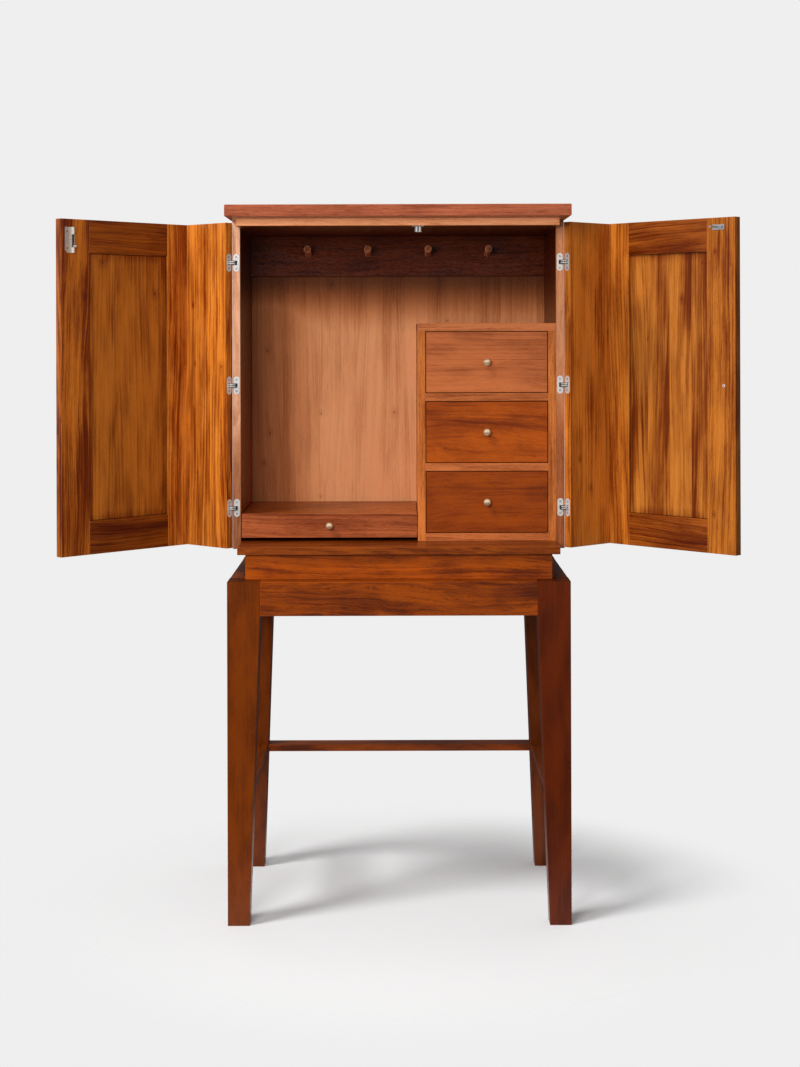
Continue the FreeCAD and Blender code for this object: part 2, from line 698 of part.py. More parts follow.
def make_catch():
    # two upright rollers under the inner top board, and the spear on the right door that they hold
    x = -x_meet + catch_inset
    y = y_leaf_inner + catch_set_back
    z_low = z_ceiling - catch_drop
    half_plate = catch_plate_width / 2
    half_deep = catch_plate_depth / 2
    rim = roller_radius + catch_plate_thickness
    half_lower = roller_spacing / 2 + rim
    upper = board((x - half_plate, x + half_plate), (y - half_deep, y + half_deep),
                  (z_ceiling - catch_plate_thickness, z_ceiling))
    lower_x = (x - half_lower, x + half_lower)
    lower = board(lower_x, (y - rim, y + half_deep), (z_low, z_low + catch_plate_thickness))
    web = board(lower_x, (y + half_deep - catch_plate_thickness, y + half_deep), (z_low, z_ceiling))
    roller_low = z_low + catch_plate_thickness + roller_end_gap
    roller_high = z_ceiling - catch_plate_thickness - roller_end_gap
    rollers = [Part.makeCylinder(roller_radius, roller_high - roller_low, Vector(x + way, y, roller_low))
               for way in (-roller_spacing / 2, roller_spacing / 2)]
    save("roller_catch_case", joined(upper, lower, web))
    save("roller_catch_rollers", *rollers)

    z_middle = (z_low + z_ceiling) / 2
    y_plate = y_leaf_inner + strike_thickness
    y_neck = y_leaf_inner + spear_length - spear_head_length
    half_neck = spear_neck / 2
    half_head = spear_head_width / 2
    plate = board((x - strike_width / 2, x + strike_width / 2), (y_leaf_inner, y_plate),
                  (z_middle - strike_height / 2, z_middle + strike_height / 2))
    spear = outline([Vector(x + u, v, z_middle - spear_height / 2) for u, v in (
        (-half_neck, y_plate), (half_neck, y_plate), (half_neck, y_neck), (half_head, y_neck + half_neck),
        (half_neck, y_neck + spear_head_length), (-half_neck, y_neck + spear_head_length),
        (-half_head, y_neck + half_neck), (-half_neck, y_neck))])
    strike = joined(plate, spear.extrude(z_axis * spear_height))
    save("right_door_catch_strike", swing(strike, 1))


os.makedirs("parts", exist_ok=True)
make_stand()
make_plinth()
side_blocks, door_blocks = make_hinges()
make_cabinet(side_blocks)
make_pegs()
make_drawer_case()
make_drawers()
make_pull_shelf()
make_doors(door_blocks)
make_bolt()
make_catch()
print("parts written:", len(os.listdir("parts")))
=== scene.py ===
import math

import bmesh
import bpy
import numpy as np
from mathutils import Matrix, Vector


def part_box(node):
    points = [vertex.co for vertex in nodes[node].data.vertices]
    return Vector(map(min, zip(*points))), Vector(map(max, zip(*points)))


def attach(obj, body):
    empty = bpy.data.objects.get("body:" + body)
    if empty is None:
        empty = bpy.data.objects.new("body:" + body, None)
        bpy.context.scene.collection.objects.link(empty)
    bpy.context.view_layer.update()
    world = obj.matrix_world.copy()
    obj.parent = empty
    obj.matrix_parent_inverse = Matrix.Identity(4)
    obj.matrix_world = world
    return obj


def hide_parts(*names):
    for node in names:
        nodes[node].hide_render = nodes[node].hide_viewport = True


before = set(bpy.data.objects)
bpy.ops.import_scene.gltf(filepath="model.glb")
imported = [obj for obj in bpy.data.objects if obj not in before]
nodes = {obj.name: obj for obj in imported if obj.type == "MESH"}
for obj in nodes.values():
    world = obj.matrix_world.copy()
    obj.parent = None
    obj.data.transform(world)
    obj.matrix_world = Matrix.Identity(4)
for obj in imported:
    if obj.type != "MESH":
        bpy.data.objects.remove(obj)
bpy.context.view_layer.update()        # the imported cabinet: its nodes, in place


def addObject(name, data):
    made = bpy.data.objects.new(name, data)
    bpy.context.scene.collection.objects.link(made)
    return made


# camera, level and straight on, as high as the upper drawer
cameraSet = {"place": (0.0, -5.144, 1.5208), "roll": -0.0028, "lens": 63.5, "sensor": 36.0,
             "shift": (0.0017, -0.1835)}


def makeCamera(values):
    data = bpy.data.cameras.new("photoCamera")
    data.lens = values["lens"]
    data.sensor_width = values["sensor"]
    data.shift_x, data.shift_y = values["shift"]
    camera = addObject("photoCamera", data)
    level = Matrix.Rotation(math.pi / 2, 4, "X") @ Matrix.Rotation(values["roll"], 4, "Z")
    camera.matrix_world = Matrix.Translation(values["place"]) @ level
    bpy.context.scene.camera = camera


makeCamera(cameraSet)


# soft studio light: a softbox a little left of the camera, a high key from the left, a faint one behind
lightSet = {
    "softbox": {"place": (-0.80, -2.95, 1.95), "aim": (0.0, 0.0, 1.4), "size": (1.1, 1.2), "power": 61},
    "highKey": {"azimuth": -54, "elevation": 48, "strength": 2.0, "angle": 17},
    "backFill": {"azimuth": 165, "elevation": 40, "strength": 0.45, "angle": 90},
}


def addLamp(name, data, way, place=(0, 0, 0)):
    lamp = addObject(name, data)
    lamp.rotation_euler = way.to_track_quat("-Z", "Y").to_euler()
    lamp.location = place
    lamp.visible_camera = lamp.visible_glossy = False


def makeSoftbox(name, place, aim, size, power):
    data = bpy.data.lights.new(name, "AREA")
    data.shape = "RECTANGLE"
    data.size, data.size_y = size
    data.energy = power
    addLamp(name, data, Vector(aim) - Vector(place), place)


def makeSun(name, azimuth, elevation, strength, angle):
    # azimuth is the side the light comes from, 0 at the camera and positive to the right
    turn, rise = math.radians(azimuth), math.radians(elevation)
    source = Vector((math.sin(turn) * math.cos(rise), -math.cos(turn) * math.cos(rise), math.sin(rise)))
    data = bpy.data.lights.new(name, "SUN")
    data.energy, data.angle = strength, math.radians(angle)
    addLamp(name, data, -source)


makeSoftbox("softbox", **lightSet["softbox"])
for sunName in ("highKey", "backFill"):
    makeSun(sunName, **lightSet[sunName])
bpy.context.scene.view_settings.view_transform = "Standard"
print("camera and lamps set")


# small helpers that put nodes into a tree; a value may be a number, a colour or another node's socket
def feed(socket, value):
    if isinstance(value, bpy.types.NodeSocket):
        socket.id_data.links.new(value, socket)
    elif value is not None:
        socket.default_value = value


def addNode(kind, inputs=(), tree=None, **settings):
    # inputs come by name or in order, and the tree is theirs if none is given; what the node puts out is returned
    inputs = dict(inputs if isinstance(inputs, dict) else enumerate(inputs))
    tree = tree or next(value.id_data for value in inputs.values() if isinstance(value, bpy.types.NodeSocket))
    made = tree.nodes.new("ShaderNode" + kind)
    for key, value in settings.items():
        setattr(made, key, value)
    for key, value in inputs.items():
        feed(made.inputs[key], value)
    return made.outputs


def calc(operation, first, second=None, third=None, clamp=False):
    return addNode("Math", (first, second, third), operation=operation, use_clamp=clamp)[0]


def calcVector(operation, first, second=None):
    made = addNode("VectorMath", (first, second), operation=operation)
    return made["Value" if operation in ("LENGTH", "DOT_PRODUCT") else "Vector"]


def parts(vector):
    return addNode("SeparateXYZ", (vector,))


def blend(factor, first, second):
    # the numbers are the colour sockets of a mix node
    return addNode("Mix", {0: factor, 6: first, 7: second}, data_type="RGBA")[2]


def ramp(value, low, high, start=0.0, end=1.0):
    # smooth step of a value between two levels
    return addNode("MapRange", (value, low, high, start, end), interpolation_type="SMOOTHSTEP")[0]


def weighted(given, weights, total=0.0):
    # each named socket times its weight, added up
    for name, weight in weights.items():
        total = calc("MULTIPLY_ADD", given[name], weight, total)
    return total


def stretchedNoise(vector, across, along, detail, rough, seed):
    # cloud noise drawn out along the grain, which is Z
    spread = addNode("Mapping", {"Vector": vector, "Scale": (across, across, along)})[0]
    return addNode("TexNoise", {"Vector": spread, "W": seed, "Scale": 1.0, "Detail": detail, "Roughness": rough},
                   noise_dimensions="4D")[0]


def chanceOf(value):
    return addNode("TexWhiteNoise", {"W": value}, noise_dimensions="1D")


def addSocket(group, label, way):
    # a socket's kind follows from its name
    colors, vectors = ("Color", "Light", "Deep", "Dark", "Tarnish"), ("Vector", "Normal")
    kind = "Color" if label in colors else "Vector" if label in vectors else "Float"
    group.interface.new_socket(name=label, in_out=way, socket_type="NodeSocket" + kind)


def newGroup(name, *labels):
    group = bpy.data.node_groups.new(name, "ShaderNodeTree")
    for label in labels:
        addSocket(group, label, "INPUT")
    return group, group.nodes.new("NodeGroupInput").outputs


def closeGroup(group, **results):
    for label in results:
        addSocket(group, label, "OUTPUT")
    target = group.nodes.new("NodeGroupOutput")
    for label, socket in results.items():
        feed(target.inputs[label], socket)
    return group


def useGroup(group, inputs):
    return addNode("Group", inputs, node_tree=group)


# ring lines, dark streaks, ribbon figure, fibres and pores of a board whose grain runs along Z; a cloud has its
# cells to a metre across and along the grain, its detail, its roughness, its step from the seed, and two levels
# between which it shows
grainSet = {
    "slow": (4.6, 0.55, 1.5, 0.45, 0.0), "quick": (30.0, 2.4, 3.0, 0.55, 0.0),
    "band": (17.0, 0.7, 2.5, 0.5, 3.1, 0.45, 0.70), "thin": (165.0, 1.2, 3.0, 0.62, 5.2, 0.45, 0.70),
    "ribbon": (26.0, 3.6, 2.5, 0.55, 7.7, 0.32, 0.68), "fibre": (360.0, 2.0, 3.0, 0.62, 0.0, 0.36, 0.68),
    "pore": (820.0, 36.0, 2.0, 0.6, 0.0, 0.50, 0.66),
    "flame": 0.16, "ringWay": (0.82, 0.57, 0.006), "ringPower": 1.7, "ringEnd": (1.0, 0.90), "ringBold": (0.75, 0.25),
    "follow": 0.8, "wideShare": 0.55, "fineShare": (0.35, 0.25),
}


def makeBoardGrain(values):
    group, given = newGroup("boardGrain", "Vector", "Seed", "Ring Width", "Waver", "Stretch")
    seed = given["Seed"]

    def cloud(name, vector):
        *shape, step = values[name][:5]
        noise = stretchedNoise(vector, *shape, calc("ADD", seed, step))
        return ramp(noise, *values[name][5:]) if values[name][5:] else noise

    length = addNode("CombineXYZ", (1.0, 1.0, given["Stretch"]))[0]
    spot = calcVector("MULTIPLY", given["Vector"], length)
    # the ring field is the place across the grain, bent by a long slow cloud and a small quick one;
    # its contour lines are the grain lines, straight where it is even and flame shaped where it turns
    sway = (("slow", values["flame"]), ("quick", given["Waver"]))
    moved = calc("ADD", *(calc("MULTIPLY", calc("SUBTRACT", cloud(name, spot), 0.5), share) for name, share in sway))
    across = calcVector("DOT_PRODUCT", spot, values["ringWay"])
    count = calc("DIVIDE", calc("ADD", across, moved), given["Ring Width"])
    saw = calc("FRACT", count)
    # each ring darkens towards its end, and by an amount of its own
    chance = chanceOf(calc("ADD", calc("FLOOR", count), seed))["Value"]
    bold = calc("MULTIPLY_ADD", chance, *values["ringBold"])
    line = calc("MULTIPLY", calc("POWER", saw, values["ringPower"]), ramp(saw, *values["ringEnd"]))
    # the other effects follow the same bends
    shift = addNode("CombineXYZ", (calc("MULTIPLY", moved, values["follow"]),))[0]
    warped = calcVector("ADD", spot, shift)
    wide = cloud("band", warped)
    fine = calc("MULTIPLY", cloud("thin", warped), calc("MULTIPLY_ADD", wide, *values["fineShare"]))
    return closeGroup(group, Ring=calc("MULTIPLY", line, bold),
                      Streak=calc("MULTIPLY_ADD", wide, values["wideShare"], fine, clamp=True),
                      Ribbon=cloud("ribbon", warped), Fibre=cloud("fibre", warped), Pore=cloud("pore", warped))


# a wide panel glued up from boards side by side along X, each with a tone and figure of its own
gluedSet = {"seedStep": 7.3, "shift": (0.0, 0.35, 3.0), "joint": (0.0011, 0.0003)}


def makeGluedBoards(values):
    group, given = newGroup("gluedBoards", "Vector", "Board Width", "Seed")
    across = parts(given["Vector"])[0]
    place = calc("ADD", calc("DIVIDE", across, given["Board Width"]), given["Seed"])
    index = calc("FLOOR", place)
    chance = chanceOf(calc("MULTIPLY_ADD", given["Seed"], values["seedStep"], index))
    spread = calcVector("MULTIPLY", chance["Color"], values["shift"])
    # joint line: nearer than about half a millimetre to the edge of a board
    edge = calc("ABSOLUTE", calc("SUBTRACT", calc("FRACT", place), 0.5))
    gap = calc("MULTIPLY", calc("SUBTRACT", 0.5, edge), given["Board Width"])
    return closeGroup(group, Vector=calcVector("ADD", given["Vector"], spread),
                      Tone=calc("MULTIPLY_ADD", chance["Value"], 2.0, -1.0), Line=ramp(gap, *values["joint"]))


# small round knots, one to a cell about 180 by 260 mm, with a ring of bent grain round them
knotSet = {"cells": (5.6, 3.9), "chance": (0.25, 1.0), "radius": 0.024, "halo": 5.0}


def makePinKnots(values):
    group, given = newGroup("pinKnots", "Vector", "Seed")
    part = parts(given["Vector"])
    plane = [calc("MULTIPLY_ADD", part[axis], cells, given["Seed"])
             for axis, cells in zip((0, 2), values["cells"])]
    shifted = addNode("CombineXYZ", plane)[0]
    cell = addNode("TexVoronoi", {"Vector": shifted, "Scale": 1.0}, voronoi_dimensions="2D")
    chance = addNode("SeparateColor", {"Color": cell["Color"]})[0]
    size = ramp(chance, *values["chance"], 0.0, values["radius"])
    ring = calc("MULTIPLY", size, values["halo"])
    return closeGroup(group, Core=ramp(cell["Distance"], size, 0.0), Halo=ramp(cell["Distance"], ring, 0.0))


# which way a face looks: eased edges look between the axes, end grain looks along Z
sortSet = {"edge": (0.97, 0.85), "end": (0.75, 0.95)}


def makeFaceSort(values):
    group, given = newGroup("faceSort", "Normal")
    part = parts(calcVector("ABSOLUTE", given["Normal"]))
    widest = calc("MAXIMUM", calc("MAXIMUM", part[0], part[1]), part[2])
    return closeGroup(group, Edge=ramp(widest, *values["edge"]), End=ramp(part[2], *values["end"]))


# darker towards the border of a panel, and a fine dark line of painted shadow right at it
borderSet = {"line": (0.0028, 0.0014)}


def makeBorderShade(values):
    group, given = newGroup("borderShade", "Vector", "Half Width", "Half Height", "Fade")
    part = parts(calcVector("ABSOLUTE", given["Vector"]))
    sideways = calc("SUBTRACT", given["Half Width"], part[0])
    upright = calc("SUBTRACT", given["Half Height"], part[2])
    near = calc("MINIMUM", sideways, upright)
    return closeGroup(group, Shade=ramp(near, given["Fade"], 0.0), Line=ramp(near, *values["line"]))


# the stained and lacquered colour of a board, with its painted shade, painted shadow lines and painted highlight on
# eased edges, its roughness and its height for the bump
figures = ("Ring", "Streak", "Ribbon", "Fibre", "Pore")
marks = ("Tone", "Edge", "End", "Knot", "Halo", "Shade", "Line", "Painted Shade")
lacquerSet = {
    # the edge weight paints eased edges lighter, a painted highlight
    "weights": {"Tone": -0.10, "Halo": 0.22, "Shade": 0.20, "Edge": -0.35, "End": 0.30},
    "deep": (-0.15, 0.75), "dark": (0.55, 1.35), "knot": 0.8,
    # the line colour darkens glue joints, and at the borders of panels and drawer fronts it is a painted shadow
    "warmth": 0.6, "smoke": (0.022, 0.006, 0.002, 1), "line": 0.75, "lineColor": (0.012, 0.004, 0.002, 1),
    "rough": {"Fibre": 0.06, "Pore": 0.12, "End": 0.12}, "height": {"Fibre": -0.25, "Pore": -0.6, "Line": -1.0},
    "specular": 0.26, "bump": 0.00025,
}


def makeLacquerTone(values):
    group, given = newGroup("lacquerTone", "Light", "Deep", "Dark", "Sheen", *figures, *marks,
                            *(name + " Depth" for name in figures))
    # darkness of the place: the sum of all the figure, then light wood over deep wood over the darkest streak
    figure = {name: given[name] for name in figures}
    figure["Ribbon"] = calc("SUBTRACT", 0.5, given["Ribbon"])
    dark = weighted(figure, {name: given[name + " Depth"] for name in figures})
    dark = weighted(given, values["weights"], dark)
    color = blend(ramp(dark, *values["deep"]), given["Light"], given["Deep"])
    color = blend(ramp(dark, *values["dark"]), color, given["Dark"])
    color = blend(calc("MULTIPLY", given["Knot"], values["knot"]), color, given["Dark"])
    # painted shade makes the colour warmer before it makes it darker
    warmth = calc("MULTIPLY_ADD", given["Painted Shade"], values["warmth"], 1.0)
    color = addNode("Gamma", (color, warmth))[0]
    color = blend(given["Painted Shade"], color, values["smoke"])
    sunken = calc("MULTIPLY", given["Line"], values["line"])
    return closeGroup(group, Color=blend(sunken, color, values["lineColor"]),
                      Roughness=weighted(given, values["rough"], given["Sheen"]),
                      Height=weighted(given, values["height"]))


# fine brushed scratches along Z and faint smudges on plated or polished metal
brushSet = {"scratch": (2600.0, 160.0, 2.0, 0.6), "smudge": (160.0, 120.0, 3.0, 0.55), "worn": (0.42, 0.75),
            "tarnish": 0.4, "scratchRough": 0.14, "wornRough": 0.12}


def makeBrushedMetal(values):
    group, given = newGroup("brushedMetal", "Vector", "Color", "Tarnish", "Polish", "Seed")
    scratch = stretchedNoise(given["Vector"], *values["scratch"], given["Seed"])
    smudge = stretchedNoise(given["Vector"], *values["smudge"], given["Seed"])
    worn = ramp(smudge, *values["worn"])
    dull = calc("MULTIPLY", worn, values["tarnish"])
    rough = calc("MULTIPLY_ADD", scratch, values["scratchRough"], given["Polish"])
    return closeGroup(group, Color=blend(dull, given["Color"], given["Tarnish"]), Height=scratch,
                      Roughness=calc("MULTIPLY_ADD", worn, values["wornRough"], rough))


boardGrain = makeBoardGrain(grainSet)
gluedBoards = makeGluedBoards(gluedSet)
pinKnots = makePinKnots(knotSet)
faceSort = makeFaceSort(sortSet)
borderShade = makeBorderShade(borderSet)
lacquerTone = makeLacquerTone(lacquerSet)
brushedMetal = makeBrushedMetal(brushSet)
print("node groups:", len(bpy.data.node_groups))


# wood finishes: three colours in plain light, from the lightest wood to the darkest streaks, the depth of each
# figure, the sheen, and the shape of the grain
finishParts = ("light", "deep", "dark", "ring", "streak", "ribbon", "fibre", "pore", "sheen", "ringWidth", "waver",
               "stretch")
finishRows = {
    "caseWood": ((0.66, 0.134, 0.009), (0.225, 0.032, 0.002), (0.065, 0.008, 0.001),
                 0.30, 0.42, 0.30, 0.32, 0.26, 0.26, 0.014, 0.030, 2.6),
    "slabWood": ((0.60, 0.147, 0.044), (0.225, 0.041, 0.009), (0.070, 0.010, 0.002),
                 0.30, 0.36, 0.30, 0.32, 0.24, 0.26, 0.014, 0.020, 1.6),
    # the lipping finish is paler and pinker partly as a painted sheen
    "edgeWood": ((0.80, 0.350, 0.190), (0.42, 0.130, 0.050), (0.14, 0.030, 0.008),
                 0.25, 0.30, 0.24, 0.20, 0.16, 0.28, 0.014, 0.020, 2.4),
    "doorWood": ((0.70, 0.220, 0.026), (0.19, 0.027, 0.001), (0.050, 0.006, 0.001),
                 0.44, 0.75, 0.34, 0.42, 0.15, 0.26, 0.012, 0.022, 1.5),
    "standWood": ((0.38, 0.067, 0.002), (0.110, 0.0155, 0.001), (0.032, 0.004, 0.001),
                  0.26, 0.34, 0.42, 0.28, 0.26, 0.27, 0.015, 0.024, 1.8),
    "backWood": ((0.70, 0.300, 0.130), (0.42, 0.145, 0.052), (0.13, 0.030, 0.008),
                 0.18, 0.34, 0.28, 0.22, 0.12, 0.38, 0.020, 0.018, 1.3),
    "boxWood": ((0.60, 0.360, 0.155), (0.40, 0.220, 0.090), (0.25, 0.120, 0.045),
                0.30, 0.30, 0.20, 0.20, 0.16, 0.55, 0.008, 0.012, 1.5),
}
finishes = {name: dict(zip(finishParts, row)) for name, row in finishRows.items()}
# what a look may change besides the numbers of its finish: width and joint lines of glued boards, knots, the shaded
# border and how far it fades, coarseness of fibres and pores, and the painted shade described below
plainLook = {"boards": None, "joint": 0.5, "gluedSeed": 0.37, "knots": False, "border": None, "fade": 0.03,
             "coarse": 1.0, "dusk": None, "smoke": None, "corner": None, "innerTurn": 0.5}
axes = {"x": Vector((1, 0, 0)), "y": Vector((0, 1, 0)), "z": Vector((0, 0, 1))}


def boardFrame(corners, way, turn=0.0):
    # turns a piece so that the first axis of its way, its grain, lies along Z and the second, its thickness,
    # along Y, and centres it
    along, through = (axes[letter] for letter in way)
    rows = Matrix((through.cross(along), through, along)) @ Matrix.Rotation(turn, 3, "Z")
    local = np.asarray(corners) @ np.array(rows).T
    low, high = local.min(0), local.max(0)
    return rows, -(low + high) / 2, (high - low) / 2


def meshCorners(nodeName):
    mesh = nodes[nodeName].data
    flat = np.empty(len(mesh.vertices) * 3)
    mesh.vertices.foreach_get("co", flat)
    return flat.reshape(-1, 3)


def startMaterial(name):
    material = bpy.data.materials.new(name)
    material.use_nodes = True
    tree = material.node_tree
    return material, tree, tree.nodes["Principled BSDF"]


def mapped(socket, rows, offset=None):
    # a place is turned and centred, a direction is only turned
    turned = {"Vector": socket, "Rotation": rows.to_euler("XYZ")}
    if offset is None:
        return addNode("Mapping", turned, vector_type="VECTOR")[0]
    return addNode("Mapping", {**turned, "Location": offset})[0]


def finishInto(shader, finish, depth):
    bump = addNode("Bump", {"Height": finish["Height"], "Strength": 1.0, "Distance": depth})[0]
    for name, socket in (("Base Color", finish["Color"]), ("Roughness", finish["Roughness"]), ("Normal", bump)):
        feed(shader.inputs[name], socket)


def tinted(finish, tone):
    # the same finish on a lighter or darker board; the tone is one number or one each for red, green and blue
    return {**finish, **{part: tuple((np.array(finish[part]) * tone).tolist()) for part in ("light", "deep", "dark")}}


def boardTones(tree, corners, finishName, seed, way, turn=0.0, tone=1.0, **look):
    # all the effects of one board, from its place in board space to its lacquered colour
    look = {**plainLook, **tinted(finishes[finishName], tone), **look}
    rows, offset, half = boardFrame(corners, way, turn)
    place = addNode("TexCoord", tree=tree)
    spot = mapped(place["Object"], rows, offset)
    facing = mapped(place["Normal"], rows)
    grainSpot, extra = spot, {}
    if look["boards"]:
        glued = useGroup(gluedBoards, {"Vector": spot, "Board Width": look["boards"],
                                       "Seed": seed * look["gluedSeed"]})
        grainSpot = glued["Vector"]
        extra["Tone"] = glued["Tone"]
        extra["Line"] = calc("MULTIPLY", glued["Line"], look["joint"])
    figure = useGroup(boardGrain, {"Vector": grainSpot, "Seed": seed, "Ring Width": look["ringWidth"],
                                   "Waver": look["waver"], "Stretch": look["stretch"]})
    if look["knots"]:
        knots = useGroup(pinKnots, {"Vector": spot, "Seed": seed})
        extra["Knot"], extra["Halo"] = knots["Core"], knots["Halo"]
    if look["border"] is not None:
        border = useGroup(borderShade, {"Vector": spot, "Half Width": half[0] - look["border"],
                                        "Half Height": half[2] - look["border"], "Fade": look["fade"]})
        extra["Shade"] = border["Shade"]
        extra["Line"] = calc("MAXIMUM", border["Line"], extra["Line"]) if "Line" in extra else border["Line"]
    if look["dusk"]:
        # painted shade: darker towards the foot of the board, between two heights from its middle
        extra["Shade"] = ramp(parts(spot)[2], *look["dusk"])
    if look["smoke"]:
        # painted shade: darker up under the ceiling, between two heights from the middle of the board, and on the back
        # panel towards one side of it as well, as a painted shadow of the side, on the inner face only
        side, levels = look["smoke"]
        part = parts(spot)
        deep = ramp(part[2], *levels)
        if look["corner"]:
            deep = calc("MAXIMUM", deep, ramp(part[0], *look["corner"]))
        inner = ramp(parts(facing)[1], 0.0, look["innerTurn"] * side)
        extra["Painted Shade"] = calc("MULTIPLY", deep, inner)
    sort = useGroup(faceSort, {"Normal": facing})
    given = {name: look[name.lower()] + (1,) for name in ("Light", "Deep", "Dark")}
    for name in figures:
        coarse = look["coarse"] if name in ("Fibre", "Pore") else 1.0
        given[name], given[name + " Depth"] = figure[name], look[name.lower()] * coarse
    return useGroup(lacquerTone, {**given, "Sheen": look["sheen"], "Edge": sort["Edge"], "End": sort["End"], **extra})


def lacquerInto(shader, tones):
    shader.inputs["Specular IOR Level"].default_value = lacquerSet["specular"]
    finishInto(shader, tones, lacquerSet["bump"])


def woodMaterial(name, corners, *board, **look):
    material, tree, shader = startMaterial(name)
    lacquerInto(shader, boardTones(tree, corners, *board, **look))
    return material


def crossedMaterial(name, corners, kinds, split, seed, dusk=None, **look):
    # one node with two kinds of board, each (finish, tone, way): the first lies between the two levels of split,
    # which is (axis, low, high), and may have a dusk, and the second elsewhere
    material, tree, shader = startMaterial(name)
    both = []
    for finishName, tone, way in kinds:
        both.append(boardTones(tree, corners, finishName, seed + len(both), way, tone=tone, dusk=dusk, **look))
        dusk = None
    axis, low, high = split
    level = parts(addNode("TexCoord", tree=tree)["Object"])[axis.upper()]
    inside = calc("MULTIPLY", calc("GREATER_THAN", level, low), calc("LESS_THAN", level, high))
    lacquerInto(shader, {part: blend(inside, both[1][part], both[0][part])
                         for part in ("Color", "Roughness", "Height")})
    return material


def dress(nodeName, material):
    held = nodes[nodeName].data.materials
    held.clear()
    held.append(material)


def dressWood(nodeName, *board, **look):
    dress(nodeName, woodMaterial(nodeName + "Wood", meshCorners(nodeName), *board, **look))


def dressBoards(boardSet):
    # boards by their finish; a row has the seed, the way of the board and its look
    for finishName, boards in boardSet.items():
        for nodeName, (seed, way, look) in boards.items():
            dressWood(nodeName, finishName, seed, way, **look)


def dressCrossed(nodeName, materialName, seed, kinds, axis, wall):
    # the first kind of board lies between two walls of the second kind
    corners = meshCorners(nodeName)
    reach = corners[:, "xyz".index(axis)]
    split = (axis, float(reach.min()) + wall, float(reach.max()) - wall)
    dress(nodeName, crossedMaterial(materialName, corners, kinds, split, seed))


# stand: calm legs with upright grain, rails and stretchers with grain along them
calmLook = {"ring": 0.16, "streak": 0.20, "coarse": 0.6}
standSet = {
    "stand_front_left_leg": (1.3, "zy", {"tone": (0.49, 0.50, 0.3), **calmLook}),
    "stand_front_right_leg": (3.4, "zy", {"tone": (0.30, 0.22, 0.2), **calmLook}),
    "stand_back_left_leg": (5.5, "zy", {"tone": 0.52, **calmLook}),
    "stand_back_right_leg": (7.6, "zy", {"tone": 0.46, **calmLook}),
    "stand_front_rail": (11.2, "xy", {"tone": 0.86, "streak": 0.75, "waver": 0.05, "stretch": 2.6}),
    "stand_back_rail": (12.9, "xy", {"tone": 0.7}),
    "stand_side_rails": (14.4, "yx", {"tone": 0.7}),
    "stand_top_panel": (15.8, "xz", {"tone": 0.8, "boards": 0.13}),
    "stand_side_stretchers": (17.1, "yz", {"tone": 0.65}),
    "stand_back_stretcher": (18.6, "xz", {"tone": 0.75}),
}
dressBoards({"standWood": standSet})


# plinth: two long boards across, two short ones front to back between them
plinthSet = {"seed": 21.5, "kinds": (("standWood", 1.12, "yx"), ("standWood", 1.12, "xy")), "axis": "y",
             "wall": 0.020}
dressCrossed("plinth_boards", "plinthWood", **plinthSet)
print("stand and plinth dressed")


# cabinet body
# the peg rail's dark tone is painted shade under the ceiling, the slab's raised blue is a painted sheen, and the back
# panel's raised tone is painted light, with painted shade up under the ceiling and towards its left side
cabinetSet = {
    "caseWood": {"base_board": (24.2, "xz", {"tone": 0.45, "boards": 0.12}),
                 "peg_rail": (34.1, "xy", {"tone": (0.19, 0.13, 0.1)})},
    "slabWood": {"top_slab": (27.3, "xz", {"tone": (0.78, 0.82, 1.2), "boards": 0.12})},
    "backWood": {"back_panel": (32.9, "zy", {
        "tone": (1.40, 1.42, 1.45), "boards": 0.105, "joint": 0.25, "knots": True,
        "smoke": (-1, (0.13, 0.30, 0.0, 0.88)), "corner": (-0.20, -0.36, 0.0, 0.48)})},
}
dressBoards(cabinetSet)


# sides and inner top, with a paler lipping along their front edges, pale partly as a painted sheen and, on the inner
# top, as painted light where the slab shades it: seed, way, tones of the lipping and of the board, dusk of the
# lipping, which is painted shade towards its foot, and painted shade on the inner face
lippedSet = {
    "inner_top_board": (25.7, "xz", (1.52, 1.50, 1.28), 0.55, None, (-1, (-2.0, -1.0, 0.0, 0.62))),
    "left_side_board": (28.8, "zx", (1.12, 1.36, 1.52), 0.73, (0.0, -0.30, 0.0, 3.6), (1, (-0.30, 0.35, 0.26, 0.80))),
    "right_side_board": (30.4, "zx", (1.04, 1.02, 0.88), 0.73, (0.12, -0.22, 0.0, 3.6),
                         (-1, (-0.30, 0.35, 0.20, 0.60))),
}
lipSet = {"finishes": ("edgeWood", "caseWood"), "lip": 0.003, "boards": 0.14}


def dressLipped(nodeName, seed, way, lipTone, tone, dusk, smoke, values):
    corners = meshCorners(nodeName)
    front = float(corners[:, 1].min())
    kinds = [(finishName, shade, way) for finishName, shade in zip(values["finishes"], (lipTone, tone))]
    dress(nodeName, crossedMaterial(nodeName + "Wood", corners, kinds, ("y", front - 1, front + values["lip"]), seed,
                                    dusk, boards=values["boards"], smoke=smoke))


for nodeName, row in lippedSet.items():
    dressLipped(nodeName, *row, lipSet)
print("cabinet dressed")


# drawer case, its three drawers and the pull-out shelf
# drawer fronts have a fine line of painted shadow at their border, for the gap round them
frontLook = {"ring": 0.16, "coarse": 0.6, "border": -0.0012, "fade": 0.004}
